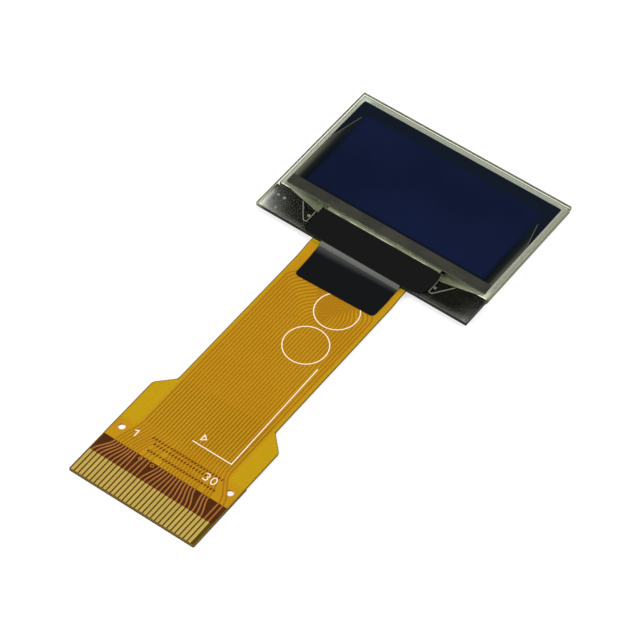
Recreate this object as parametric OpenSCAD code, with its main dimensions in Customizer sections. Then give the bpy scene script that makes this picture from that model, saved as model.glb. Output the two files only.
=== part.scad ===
// Small OLED display module: a sealed glass panel with its driver chip on a
// ledge, and a flexible printed tail that ends in a plug-in contact edge.
//
// Millimetres. The origin is the centre of the back glass, on its outer face.
// +X runs across the panel, +Y away from the tail, +Z towards the viewer.
// Distances along the tail are measured from the ledge's edge, towards the contacts.

/* [Panel glass] */
// Width of the front glass
panel_w = 26.7; // [26:0.1:34]
// Length of the front glass, ledge included
panel_l = 19.26; // [18.5:0.02:26]
// Thickness of the front glass
glass_t = 0.5; // [0.3:0.05:1.1]
// Length of the ledge that the back glass leaves free
ledge_l = 3.95; // [3.8:0.05:5]
// Thickness of the back glass
back_t = 0.5; // [0.45:0.05:1.1]
// Inset of the back glass at each side
back_side_inset = 0.15; // [0:0.05:0.4]
// Inset of the back glass at the far edge
back_far_inset = 0.1; // [0:0.05:0.4]
// Width of the back glass's rim round its pocket
rim_w = 1.1; // [0.8:0.1:1.5]
// Depth of the pocket in the back glass
pocket_h = 0.3; // [0.2:0.05:0.35]

/* [Seal and drying sheet] */
// Gap between the two glasses, which the sealant fills
seal_t = 0.05; // [0.04:0.01:0.1]
// Width of the sealant ring
seal_w = 1.0; // [0.6:0.1:1.4]
// Setback of the sealant from the back glass's edge
seal_setback = 0.1; // [0.05:0.05:0.3]
// Thickness of the drying sheet
desiccant_t = 0.15; // [0.1:0.01:0.2]
// Clearance round the drying sheet in its pocket
desiccant_gap = 0.5; // [0.2:0.1:1]

/* [Polarizer] */
// Setback of the polarizer from the front glass's sides
pol_side_gap = 0.68; // [0.4:0.02:1]
// Sideways offset of the polarizer, from fitting it by hand
pol_shift = 0.18; // [-0.3:0.02:0.3]
// Setback of the polarizer from the front glass's far edge
pol_far_gap = 1.1; // [0.3:0.05:1.5]
// Setback of the polarizer from the line where the back glass starts
pol_setback = 0.15; // [0:0.05:0.5]
// Corner radius of the polarizer film
pol_r = 0.25; // [0.1:0.05:1]
// Thickness of the polarizer film
pol_t = 0.2; // [0.1:0.01:0.3]

/* [Pixels and leads] */
// Number of pixel columns
columns = 128; // [96:1:132]
// Number of pixel rows
rows = 64; // [32:1:64]
// Distance from the front glass's sides to the pixels
pixel_side_gap = 2.478; // [2.4:0.01:3]
// Distance from the front glass's far edge to the pixels
pixel_far_gap = 2.946; // [2.6:0.01:3.5]
// Distance from the back glass's start to the first pixel row
pixel_near_gap = 1.5; // [1.4:0.05:2]
// Unlit part of the pitch between two pixels
pixel_gap = 0.016; // [0.01:0.002:0.03]
// Thickness of the metal and pixel films on the glass
lead_t = 0.02; // [0.015:0.005:0.025]
// Width of each bundle of row leads
row_bundle_w = 1.3; // [0.8:0.1:1.4]
// Overhang of the cathode layer past the pixels at each side
cathode_over = 0.55; // [0.45:0.05:0.6]
// Setback of the row leads from the front glass's side
row_side_gap = 0.8; // [0.6:0.05:1]
// Clearance between the leads of neighbouring bundles
lead_gap = 0.06; // [0.04:0.01:0.1]
// Length over which the row leads thin out at the far end
row_taper_l = 3.7; // [2:0.1:5]
// Width of the bundle at its far end
row_tip_w = 0.4; // [0.2:0.05:0.6]

/* [Ledge marks] */
// Width of the V-shaped guard lines
guard_w = 0.09; // [0.06:0.01:0.15]
// Distance of the guard lines from the tape's sides
guard_gap = 0.23; // [0.2:0.01:0.6]
// Distance of the guard lines' feet from the ledge's edge
guard_start = 1.3; // [1.2:0.05:1.6]
// Width of a guard line's foot
guard_foot = 0.4; // [0.3:0.05:0.6]
// Distance of the dot between the guard lines from the straight leg
guard_dot_gap = 0.25; // [0.25:0.01:0.4]
// Sideways run of a guard line's slanting leg
guard_slant = 1.5; // [1:0.1:2]
// Diameter of the alignment dots
dot_d = 0.34; // [0.2:0.02:0.4]
// Distance of the outer dot from the front glass's side
dot_side_gap = 1.05; // [0.9:0.05:1.2]
// Distance of the outer dots from the ledge's edge
dot_start = 2.5; // [2.2:0.05:2.7]
// Distance between neighbouring dots
dot_pitch = 0.8; // [0.6:0.05:1]

/* [Driver chip] */
// Length of the driver chip
chip_l = 7.6; // [6:0.1:10]
// Width of the driver chip
chip_w = 0.9; // [0.7:0.05:1]
// Thickness of the driver chip
chip_t = 0.3; // [0.2:0.02:0.3]
// Distance from the ledge's edge to the chip
chip_start = 1.95; // [1.8:0.05:2.2]
// Margin of the chip's bonding film round the chip
chip_film_margin = 0.15; // [0.05:0.05:0.25]

/* [Ledge resin] */
// Setback of the resin from the sides of the ledge
resin_side_gap = 0.35; // [0.2:0.05:1]
// Setback of the resin from the ledge's edge
resin_edge_gap = 0.3; // [0.2:0.05:0.6]
// Resin left under the driver chip
resin_under_chip = 0.04; // [0.02:0.01:0.06]
// Run of the resin's sloping edge
resin_slope = 0.3; // [0.1:0.05:0.4]

/* [Shield tape] */
// Width of the tape on the ledge
tape_w = 15.1; // [13:0.1:18]
// Width of the tongue that folds onto the tail
tongue_w = 10; // [8:0.1:11]
// Sideways offset of the tongue from the tape's middle
tongue_shift = -0.15; // [-0.3:0.05:0.3]
// Length of the tongue past the ledge's edge
tongue_l = 4.85; // [3.5:0.05:7]
// Thickness of the tape
tape_t = 0.06; // [0.04:0.01:0.1]
// Distance of the tape's upper edge from the polarizer
tape_gap = 0.4; // [0.2:0.05:1]
// Sideways offset of the tape
tape_shift = 0.3; // [-0.3:0.05:0.3]
// Length over which the tongue comes down from the glass
tape_ramp = 0.5; // [0.3:0.05:0.9]
// Radius of the tape's corners
tape_r = 0.6; // [0.2:0.1:1]
// Radius of the tape's one large corner, at the ledge's edge
tape_large_r = 1.5; // [0.6:0.1:2.2]

/* [Tail] */
// Width of the tail
tail_w = 11.9; // [11:0.1:13]
// Length of the tail past the ledge's edge
tail_l = 37.8; // [32:0.1:60]
// Sideways offset of the tail
tail_shift = -0.08; // [-0.3:0.02:0.3]
// Length of the tail's full-width head
head_l = 13.8; // [10:0.1:16]
// How much further along the tail the left shoulder lies
shoulder_drop = 0.45; // [0:0.05:0.8]
// Width of the head's margin beside the outer contacts
head_margin = 0.33; // [0.3:0.01:0.8]
// Corner radius at the shoulders
shoulder_r = 0.7; // [0.2:0.1:1.2]
// Corner radius at the contact end
end_r = 0.15; // [0.05:0.05:0.3]
// Thickness of the base film
base_t = 0.05; // [0.025:0.005:0.06]
// Thickness of each cover film
cover_t = 0.03; // [0.02:0.005:0.04]
// Thickness of the copper lanes and contacts
copper_t = 0.02; // [0.015:0.005:0.035]
// Length of the tail that is bonded under the ledge
bond_l = 1.2; // [0.8:0.1:1.4]
// Thickness of the tail's bonding film
bond_t = 0.02; // [0.01:0.005:0.03]
// Setback of the upper cover film from the ledge's edge
cover_start = 0.2; // [0.15:0.05:0.4]
// Distance from the ledge's edge to the start of the bend
bend_start = 0.3; // [0.2:0.05:0.6]
// Length of the bend between the two levels
bend_l = 2.5; // [2:0.1:3]

/* [Contacts] */
// Number of contacts
contact_n = 30; // [26:1:36]
// Pitch of the contacts
contact_pitch = 0.5; // [0.5:0.01:0.52]
// Width of a contact
contact_w = 0.34; // [0.3:0.01:0.38]
// Length of a contact
contact_l = 3; // [2.5:0.1:3.5]
// Sideways offset of the contacts on the head
contact_shift = -0.15; // [-0.15:0.05:0.15]
// Setback of the contacts from the end
contact_setback = 0.12; // [0.05:0.01:0.3]
// Total thickness at the contact edge
contact_edge_t = 0.3; // [0.25:0.01:0.35]
// Length of the end that the upper cover film leaves bare
bare_l = 5.5; // [5:0.1:6]
// Length of the stiffener behind the end
stiffener_l = 8.5; // [8.2:0.1:10]

/* [Alignment holes] */
// Diameter of the alignment holes
hole_d = 0.8; // [0.6:0.05:0.9]
// Distance of the holes from the head's sides
hole_from_side = 1; // [0.9:0.05:1.2]
// Distance of the holes from the contact end
hole_from_end = 7.15; // [7:0.05:7.4]

/* [Copper lanes] */
// Width of a copper lane
lane_w = 0.16; // [0.1:0.01:0.17]
// Margin beside the outer lanes along the tail
lane_margin = 0.6; // [0.4:0.01:0.7]
// Pitch of the lanes where they leave the cover film
gate_pitch = 0.37; // [0.34:0.01:0.4]
// Pitch of the lanes at the bond
bond_pitch = 0.25; // [0.24:0.01:0.26]
// Sideways offset of the lanes at the bond
bond_shift = 0.5; // [0.3:0.05:0.6]
// Length over which the lanes gather under the cover film
gather_l = 3.6; // [1.6:0.1:4.2]
// Distance from the ledge's edge at which the outer lanes start to sweep aside
sweep_start = 5.5; // [5.5:0.1:6.5]
// How much sooner a lane sweeps for each millimetre between it and the nearer outer lane
sweep_rake = 0.72; // [0.7:0.02:0.84]
// Length over which a lane turns from straight to slanting
sweep_turn = 1.2; // [1:0.1:1.4]
// Length over which a slanting lane turns straight again
sweep_settle = 0.3; // [0.2:0.05:0.4]

/* [Hidden] */

$fn = 48;
tiny = 0.01;
corner_steps = 6;
bend_steps = 12;

// Panel: sizes and levels
back_w = panel_w - 2 * back_side_inset;
back_l = panel_l - ledge_l - back_far_inset;
edge_y = -back_l / 2 - ledge_l;
far_y = edge_y + panel_l;
under_z = back_t + seal_t;
front_z = under_z + glass_t;
film_z = under_z - lead_t;
pixels_w = panel_w - 2 * pixel_side_gap;
pixel_start = ledge_l + pixel_near_gap;
pixel_end = panel_l - pixel_far_gap;
pol_start = ledge_l + pol_setback;
pol_end = panel_l - pol_far_gap;

// Leads: where they leave the chip, and where the bundles of row leads run
chip_end = chip_start + chip_w + chip_film_margin;
lead_foot_x = tape_w / 2;
row_out = panel_w / 2 - row_side_gap;
row_in = row_out - row_bundle_w;
row_end = pixel_end - lead_gap;
guard_x = tape_w / 2 + guard_gap;

// Tail: widths, levels and places
head_w = contact_n * contact_pitch - contact_pitch + contact_w + 2 * head_margin;
shoulder = (head_w - tail_w) / 2;
shoulder_start = tail_l - head_l - shoulder;
film_t = base_t + copper_t + cover_t;
flat_z = contact_edge_t - film_t;
bond_z = under_z - bond_t - film_t;
bend_end = bend_start + bend_l;
contact_end = tail_l - contact_setback;
contact_start = contact_end - contact_l;
cover_end = tail_l - bare_l;
lane_pitch = (tail_w - 2 * lane_margin) / (contact_n - 1);

// ---- helpers ----

// Place of a point x across the tail and d along it
function tail_point(x, d) = [x + tail_shift, edge_y - d];

// Smooth step from 0 to 1
function ease(t) = let (s = min(1, max(0, t))) s * s * (3 - 2 * s);

// Height of the tail's underside at distance d
function tail_z(d) = bond_z + (flat_z - bond_z) * ease((d - bend_start) / bend_l);

function unit(v) = v / norm(v);

// Arc that rounds the corner p, between its neighbours a and b
function corner(a, p, b, r) =
    r <= 0 ? [p] :
    let (
        u = unit(a - p),
        v = unit(b - p),
        half = acos(u * v) / 2,
        centre = p + unit(u + v) * r / sin(half),
        from = p + u * r / tan(half) - centre,
        to = p + v * r / tan(half) - centre,
        way = from[0] * to[1] > from[1] * to[0] ? 1 : -1,
        turn = way * (180 - 2 * half)
    )
    [for (k = [0:corner_steps])
        let (q = turn * k / corner_steps)
        centre + [from[0] * cos(q) - from[1] * sin(q), from[0] * sin(q) + from[1] * cos(q)]];

// Closed outline from points [x, y, corner radius]
function rounded(path) =
    let (n = len(path), at = [for (p = path) [p[0], p[1]]])
    [for (i = [0:n - 1]) each corner(at[(i + n - 1) % n], at[i], at[(i + 1) % n], path[i][2])];

// Solid with the outline across Y and Z, w wide along X
module ribbon(outline, w) {
    translate([-w / 2, 0, 0])
        rotate([90, 0, 90])
            linear_extrude(w)
                polygon(outline);
}

// Plate of the panel: w wide, from distance a to b into the panel from its edge
module plate(w, a, b, z, t) {
    translate([-w / 2, edge_y + a, z])
        cube([w, b - a, t]);
}

// Distances along the bend, from a to b
function bend_places(a, b) = concat(
    [a],
    [for (k = [0:bend_steps]) let (d = bend_start + bend_l * k / bend_steps) if (d > a && d < b) d],
    [b]);

// Cross-section of one layer of the bent tail, from height low to high above its underside
function layer_section(a, b, low, high) =
    let (places = bend_places(a, b), n = len(places))
    concat(
        [for (d = places) [edge_y - d, tail_z(d) + low]],
        [for (k = [n - 1:-1:0]) [edge_y - places[k], tail_z(places[k]) + high]]);

// One side of the tail's flat part, from the end of the bend to distance b
function tail_side(side, drop, b, end_radius) = [for (p = [
        [tail_w / 2, bend_end, 0],
        [tail_w / 2, shoulder_start + drop, min(shoulder_r, shoulder)],
        [head_w / 2, shoulder_start + drop + shoulder, min(shoulder_r, shoulder)],
        [head_w / 2, b, end_radius]
    ]) [each tail_point(side * p[0], p[1]), p[2]]];

// Outline of the tail's flat part
function tail_outline(b, end_radius) =
    let (left = tail_side(-1, shoulder_drop, b, end_radius), n = len(left))
    rounded(concat(tail_side(1, 0, b, end_radius), [for (k = [n - 1:-1:0]) left[k]]));

// The two alignment holes, through everything
module alignment_holes() {
    for (side = [-1, 1])
        translate([each tail_point(side * (head_w / 2 - hole_from_side), tail_l - hole_from_end), -1])
            cylinder(d = hole_d, h = 3);
}

// One film of the tail: from distance a to b, between two heights above its underside
module tail_film(a, b, low, high, end_radius) {
    translate([tail_shift, 0, 0])
        ribbon(layer_section(a, bend_end, low, high), tail_w);
    difference() {
        translate([0, 0, flat_z + low])
            linear_extrude(high - low)
                polygon(tail_outline(b, end_radius));
        alignment_holes();
    }
}

// ---- panel ----

// Front glass, with the ledge towards the tail
module front_glass() {
    color([0.75, 0.8, 0.76, 0.4])
        plate(panel_w, 0, panel_l, under_z, glass_t);
}

// Back glass, with the etched pocket for the drying sheet
module back_glass() {
    color([0.7, 0.75, 0.7, 0.6])
        difference() {
            plate(back_w, ledge_l, ledge_l + back_l, 0, back_t);
            plate(back_w - 2 * rim_w, ledge_l + rim_w, ledge_l + back_l - rim_w,
                  back_t - pocket_h, back_t);
        }
}

// Polarizer film over the viewing area
module polarizer_film() {
    half_w = panel_w / 2 - pol_side_gap;
    color([0.06, 0.08, 0.2])
        translate([pol_shift, edge_y, front_z])
            linear_extrude(pol_t)
                polygon(rounded([
                    [half_w, pol_start, pol_r], [half_w, pol_end, pol_r],
                    [-half_w, pol_end, pol_r], [-half_w, pol_start, pol_r]
                ]));
}

// Sealant ring between the glasses; the lead films cross it
module edge_sealant() {
    inner = seal_setback + seal_w;
    color([0.85, 0.84, 0.7])
        difference() {
            plate(back_w - 2 * seal_setback, ledge_l + seal_setback,
                  ledge_l + back_l - seal_setback, back_t, seal_t);
            plate(back_w - 2 * inner, ledge_l + inner, ledge_l + back_l - inner,
                  back_t - tiny, seal_t + 2 * tiny);
            lead_films();
        }
}

// Drying sheet on the floor of the pocket
module desiccant_sheet() {
    inset = rim_w + desiccant_gap;
    color("whitesmoke")
        plate(back_w - 2 * inset, ledge_l + inset, ledge_l + back_l - inset,
              back_t - pocket_h, desiccant_t);
}

// Light-emitting layer on the inner face of the front glass
module pixel_layer() {
    color([0.1, 0.12, 0.4])
        plate(pixels_w, pixel_start, pixel_end, film_z, lead_t);
}

// Metal layer behind the pixels, which reaches over the row leads
module cathode_layer() {
    thickness = (seal_t - lead_t) / 2;
    color("silver")
        plate(pixels_w + 2 * cathode_over, pixel_start, pixel_end, film_z - thickness, thickness);
}

// ---- lead films on the glass ----

// Film with the given outline; its points are x and the distance into the panel
module glass_film(outline) {
    translate([0, edge_y, film_z])
        linear_extrude(lead_t)
            polygon(outline);
}

// Leads that fan out from the chip to the pixel columns
module column_leads() {
    color([0.35, 0.36, 0.28])
        glass_film([
            [-chip_l / 2, chip_end], [chip_l / 2, chip_end],
            [lead_foot_x - lead_gap, ledge_l], [pixels_w / 2, pixel_start],
            [-pixels_w / 2, pixel_start], [-lead_foot_x + lead_gap, ledge_l]
        ]);
}

// Outline of the bundle that takes one half of the rows up one side
function row_lead_outline(side) = [for (p = [
        [lead_foot_x, chip_end], [row_out, pol_start], [row_out, row_end - row_taper_l],
        [row_in + row_tip_w, row_end], [row_in, row_end], [row_in, pixel_start],
        [pixels_w / 2 + lead_gap, pixel_start], [lead_foot_x, ledge_l]
    ]) [side * p[0], p[1]]];

module row_leads_left() {
    color([0.35, 0.36, 0.28])
        glass_film(row_lead_outline(-1));
}

module row_leads_right() {
    color([0.35, 0.36, 0.28])
        glass_film(row_lead_outline(1));
}

// All the lead films, which the sealant is moulded round
module lead_films() {
    column_leads();
    row_leads_left();
    row_leads_right();
}

// Highest point of a guard line at x: just short of the row leads
function guard_end(x) =
    chip_end + (x - lead_foot_x) * (pol_start - chip_end) / (row_out - lead_foot_x) - lead_gap - guard_w;

// One guard line: a straight leg, a short foot and a slanting leg
module guard_line(side) {
    outer = guard_x + guard_foot;
    path = [
        [guard_x, guard_end(guard_x)], [guard_x, guard_start], [outer, guard_start],
        [outer + guard_slant, guard_end(outer + guard_slant)]
    ];
    for (k = [0:len(path) - 2])
        hull()
            for (p = [path[k], path[k + 1]])
                translate([side * p[0], edge_y + p[1], film_z])
                    cylinder(d = guard_w, h = lead_t, $fn = 12);
}

// Guard lines and alignment dots on the underside of the ledge
module ledge_marks() {
    outer_dot = panel_w / 2 - dot_side_gap;
    guard_dot = guard_x + guard_dot_gap;
    dots = [
        [-outer_dot, dot_start],
        [-outer_dot + dot_pitch, dot_start],
        [-outer_dot + dot_pitch, dot_start - 2 * dot_pitch],
        [-guard_dot, guard_start + dot_pitch],
        [guard_dot, guard_start + dot_pitch]
    ];
    color("gainsboro") {
        for (side = [-1, 1])
            guard_line(side);
        for (p = dots)
            translate([p[0], edge_y + p[1], film_z])
                cylinder(d = dot_d, h = lead_t);
    }
}

// ---- chip, bonds and resin under the ledge ----

module driver_chip() {
    color("dimgray")
        plate(chip_l, chip_start, chip_start + chip_w, film_z - chip_t, chip_t);
}

module chip_bond_film() {
    color("khaki")
        plate(chip_l + 2 * chip_film_margin, chip_start - chip_film_margin,
              chip_start + chip_w + chip_film_margin - tiny, film_z, lead_t);
}

// Bonding film between the tail's lanes and the ledge
module tail_bond_film() {
    color("khaki")
        translate([tail_shift, 0, 0])
            plate(tail_w - 2 * lane_margin + 2 * lane_w, 0.1, bond_l, under_z - bond_t, bond_t);
}

// Dark resin over the chip, with sloping edges, moulded round the chip and the tail
module ledge_resin() {
    half_w = panel_w / 2 - resin_side_gap;
    low = film_z - chip_t - resin_under_chip;
    near = edge_y + resin_edge_gap;
    wall = edge_y + ledge_l;
    fit = 0.05;
    color([0.08, 0.08, 0.07])
        difference() {
            intersection() {
                ribbon([[near, film_z], [near + resin_slope, low], [wall, low], [wall, film_z]],
                       2 * half_w);
                translate([0, wall + tiny, 0])
                    rotate([90, 0, 0])
                        linear_extrude(ledge_l)
                            polygon([[-half_w, film_z], [-half_w + resin_slope, low],
                                     [half_w - resin_slope, low], [half_w, film_z]]);
            }
            plate(chip_l, chip_start, chip_start + chip_w, film_z - chip_t, 1);
            translate([tail_shift, 0, 0])
                plate(tail_w + 2 * fit, -1, bond_l + fit, -1, 3);
        }
}

// ---- shield tape ----

// Height of the tape's lower face at distance d from the ledge's edge
function tape_z(d) =
    let (rest = tail_z(d) + film_t + cover_t)
    d <= 0 ? front_z : max(rest, rest + (front_z - rest) * (1 - ease(d / tape_ramp)));

// Cross-section of the tape from the ledge down onto the tail
function tape_section() =
    let (
        ramp = [for (k = [0:8]) tape_ramp * k / 8],
        rest = [for (d = bend_places(tape_ramp + tiny, tongue_l)) d],
        places = concat([-ledge_l], ramp, rest),
        n = len(places)
    )
    concat(
        [for (d = places) [edge_y - d, tape_z(d)]],
        [for (k = [n - 1:-1:0]) [edge_y - places[k], tape_z(places[k]) + tape_t]]);

// T-shaped black tape: wide on the ledge, with a tongue that folds down onto the tail
module shield_tape() {
    upper = pol_start - tape_gap;
    left = tongue_shift - tongue_w / 2;
    right = tongue_shift + tongue_w / 2;
    left_wing = tape_w / 2 + left - tiny;
    right_wing = tape_w / 2 - right - tiny;
    outline = rounded([
        [tape_w / 2, upper, tape_r], [tape_w / 2, 0, min(tape_large_r, right_wing)],
        [right, 0, 0], [right, -tongue_l, tape_r],
        [left, -tongue_l, tape_r], [left, 0, 0],
        [-tape_w / 2, 0, min(tape_r, left_wing)], [-tape_w / 2, upper, tape_r]
    ]);
    color([0.1, 0.1, 0.1])
        translate([tape_shift, 0, 0])
            intersection() {
                ribbon(tape_section(), tape_w + 1);
                translate([0, edge_y, 0])
                    linear_extrude(front_z + 1)
                        polygon(outline);
            }
}

// ---- tail ----

module bottom_cover_film() {
    color([0.8, 0.55, 0.1])
        tail_film(-bond_l, tail_l, 0, cover_t, end_r);
}

module base_film() {
    color([0.75, 0.5, 0.1])
        tail_film(-bond_l, tail_l, cover_t, cover_t + base_t, end_r);
}

module top_cover_film() {
    color([0.85, 0.6, 0.12, 0.6])
        tail_film(cover_start, cover_end, film_t, film_t + cover_t, 0);
}

module end_stiffener() {
    outline = rounded([
        [each tail_point(-head_w / 2, tail_l - stiffener_l), 0],
        [each tail_point(head_w / 2, tail_l - stiffener_l), 0],
        [each tail_point(head_w / 2, tail_l), end_r],
        [each tail_point(-head_w / 2, tail_l), end_r]
    ]);
    color([0.55, 0.35, 0.08])
        difference() {
            linear_extrude(flat_z)
                polygon(outline);
            alignment_holes();
        }
}

// ---- contacts and copper lanes ----

// Place of contact i across the tail
function contact_x(i) = contact_shift + (i - (contact_n - 1) / 2) * contact_pitch;

// Bundles of lanes at the head: where each ends, as a share of all, how far it drifts
// from its contacts, and its pitch, as a share of the usual one
bundles = [
    [6 / 30, 0.82, 0.97], [9 / 30, 0.1, 0.92], [12 / 30, 0.07, 1.24],
    [25 / 30, -0.1, 1.01], [28 / 30, -0.58, 0.98], [1, 0, 1.35]
];
function bundle_end(b) = b < 0 ? 0 : round(bundles[b][0] * contact_n);
function bundle_of(i, b = 0) = i < bundle_end(b) ? b : bundle_of(i, b + 1);

// Place of lane i where it leaves the cover film, gathered with its bundle
function gate_x(i) =
    let (
        b = bundle_of(i),
        middle = (bundle_end(b - 1) + bundle_end(b) - 1) / 2
    )
    contact_x(middle) + bundles[b][1] + (i - middle) * gate_pitch * bundles[b][2];

// Place of lane i along the tail, and at the bond
function lane_x(i) = (i - (contact_n - 1) / 2) * lane_pitch;
function bond_x(i) = bond_shift + (i - (contact_n - 1) / 2) * bond_pitch;

// Place across the tail where a lane would have no sweep to make; the others sweep towards it
sweep_middle = bond_shift * lane_pitch / (lane_pitch - bond_pitch);

// Distance at which lane i starts its sweep, and how long the sweep is:
// it slants at 45 degrees, or steeper where it would reach the bend
function sweep_from(i) =
    let (inward = lane_x(i) < sweep_middle ? lane_x(i) - lane_x(0) : lane_x(contact_n - 1) - lane_x(i))
    sweep_start + sweep_rake * inward;
function sweep_l(i) =
    let (turns = sweep_turn + sweep_settle)
    min(sweep_from(i) - bend_end, max(abs(bond_x(i) - lane_x(i)) + turns / 2, turns + tiny));

// Share of its sweep, l long, that a lane has made after t: it turns, slants and turns back
function swept(t, l) =
    let (slope = 1 / (l - (sweep_turn + sweep_settle) / 2))
    t <= 0 ? 0 :
    t < sweep_turn ? slope * t * t / (2 * sweep_turn) :
    t < l - sweep_settle ? slope * (t - sweep_turn / 2) :
    t < l ? 1 - slope * (l - t) * (l - t) / (2 * sweep_settle) : 1;

// Middle of lane i at distance d
function lane_middle(i, d) =
    contact_x(i)
    + (gate_x(i) - contact_x(i)) * ease((contact_start - d) / (contact_start - cover_end))
    + (lane_x(i) - gate_x(i)) * ease((cover_end - d) / gather_l)
    + (bond_x(i) - lane_x(i)) * swept(sweep_from(i) - d, sweep_l(i));

// Outline of the flat part of lane i
function lane_outline(i) =
    let (
        steps = 8,
        turn_steps = 4,
        bare = contact_start - cover_end,
        last = sweep_from(i) - sweep_l(i),
        places = concat(
            [for (k = [0:steps]) contact_start - bare * k / steps],
            [for (k = [1:steps]) cover_end - gather_l * k / steps],
            [for (k = [0:turn_steps]) sweep_from(i) - sweep_turn * k / turn_steps],
            [for (k = [2:-1:0]) last + sweep_settle * k / 2],
            last > bend_end + tiny ? [bend_end] : []),
        middle = [for (d = places) tail_point(lane_middle(i, d), d)],
        aside = [for (d = places)
            let (run = lane_middle(i, d + tiny) - lane_middle(i, d - tiny))
            unit([2 * tiny, run]) * lane_w / 2],
        n = len(places)
    )
    concat(
        [for (k = [0:n - 1]) middle[k] + aside[k]],
        [for (k = [n - 1:-1:0]) middle[k] - aside[k]]);

// Copper lanes, from the contacts along the tail to the bond
module copper_lanes() {
    low = cover_t + base_t;
    color([0.72, 0.4, 0.2])
        for (i = [0:contact_n - 1]) {
            translate([0, 0, flat_z + low])
                linear_extrude(copper_t)
                    polygon(lane_outline(i));
            translate([bond_x(i) + tail_shift, 0, 0])
                ribbon(layer_section(-bond_l, bend_end, low, low + copper_t), lane_w);
        }
}

// Gilded contacts
module contacts() {
    color("gold")
        for (i = [0:contact_n - 1])
            translate([each tail_point(contact_x(i) - contact_w / 2, contact_end),
                       flat_z + cover_t + base_t])
                cube([contact_w, contact_l, copper_t]);
}

front_glass();
back_glass();
polarizer_film();
edge_sealant();
desiccant_sheet();
pixel_layer();
cathode_layer();
column_leads();
row_leads_left();
row_leads_right();
ledge_marks();
driver_chip();
chip_bond_film();
tail_bond_film();
ledge_resin();
shield_tape();
base_film();
copper_lanes();
contacts();
top_cover_film();
bottom_cover_film();
end_stiffener();
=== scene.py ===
"""Looks of the small OLED module: a sealed glass panel with a flexible printed tail.

The frame is in metres and this script's own sizes are in millimetres, so MM turns one into the other.
Places come from the boxes and meshes of the CAD nodes. Printed marks are set out from the ledge's edge.
"""

import math

import bmesh
import bpy
from mathutils import Matrix, Vector
from mathutils.bvhtree import BVHTree

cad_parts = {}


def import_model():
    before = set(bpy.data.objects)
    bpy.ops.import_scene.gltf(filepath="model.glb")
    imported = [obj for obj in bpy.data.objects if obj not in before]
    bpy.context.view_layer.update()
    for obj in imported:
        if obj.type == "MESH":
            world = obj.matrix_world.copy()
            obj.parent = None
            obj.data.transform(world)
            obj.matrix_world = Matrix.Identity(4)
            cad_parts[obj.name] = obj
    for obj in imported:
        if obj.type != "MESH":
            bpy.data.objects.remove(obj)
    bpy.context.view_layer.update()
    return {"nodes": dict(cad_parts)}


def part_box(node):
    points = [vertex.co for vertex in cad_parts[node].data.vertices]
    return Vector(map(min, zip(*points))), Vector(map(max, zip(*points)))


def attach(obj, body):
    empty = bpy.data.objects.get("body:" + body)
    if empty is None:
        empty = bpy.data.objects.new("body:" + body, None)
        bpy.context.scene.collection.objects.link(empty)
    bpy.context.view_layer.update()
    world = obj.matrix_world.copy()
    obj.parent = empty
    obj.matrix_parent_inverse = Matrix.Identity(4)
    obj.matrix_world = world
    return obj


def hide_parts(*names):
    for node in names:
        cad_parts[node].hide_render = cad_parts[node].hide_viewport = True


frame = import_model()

MM = 0.001


# ---- where things are, in millimetres ----

def box(node):
    """Lowest and highest corners of a CAD node."""
    low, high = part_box(node)
    return Vector(low) / MM, Vector(high) / MM


GLASS_LOW, GLASS_HIGH = box("front_glass")
BACK_LOW = box("back_glass")[0]
POL_LOW, POL_HIGH = box("polarizer_film")
TAPE_LOW, TAPE_HIGH = box("shield_tape")
COVER_LOW, COVER_HIGH = box("top_cover_film")
BASE_LOW, BASE_HIGH = box("base_film")
CONTACT_HIGH = box("contacts")[1]
RESIN_LOW, RESIN_HIGH = box("ledge_resin")
BOND_LOW, BOND_HIGH = box("tail_bond_film")

# panel: the ledge's free edge, the back glass's edge, and the sealant ring's outer half sizes
EDGE_Y = GLASS_LOW.y
LEDGE_END = BACK_LOW.y
RING_X = 13.1
RING_Y = 7.5

# heights of the resin's pale bead and of its thin wash, both just under the front glass
BEAD_Z = (0.505, 0.528)
WASH_Z = (0.512, 0.524)

# tail: it widens at shoulders into a head with two holes, and the left shoulder sits lower
TAIL_X = (BASE_LOW.x + BASE_HIGH.x) / 2
TAIL_END = BASE_LOW.y
HEAD_HALF = (BASE_HIGH.x - BASE_LOW.x) / 2
SHOULDER_RUN = 1.8
TAIL_HALF = HEAD_HALF - SHOULDER_RUN
SHOULDER_Y = TAIL_END + 15.6
SHOULDER_DROP = 0.45
HOLE_INSET = 1
HOLE_Y = TAIL_END + 7.15
HOLES = [(TAIL_X + side * (HEAD_HALF - HOLE_INSET), HOLE_Y) for side in (-1, 1)]

# the cover film's end and its lowest height, and the contacts' upper face
COVER_END = COVER_LOW.y
HEAD_TOP = COVER_LOW.z
LANE_TOP = CONTACT_HIGH.z

# the tape comes down from the glass onto the tail over this run
FOLD_RUN = 0.42

# strength of the world's light on the object, beside the plain white that the camera sees
AMBIENT = 0.6


# ---- node helper ----

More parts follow.
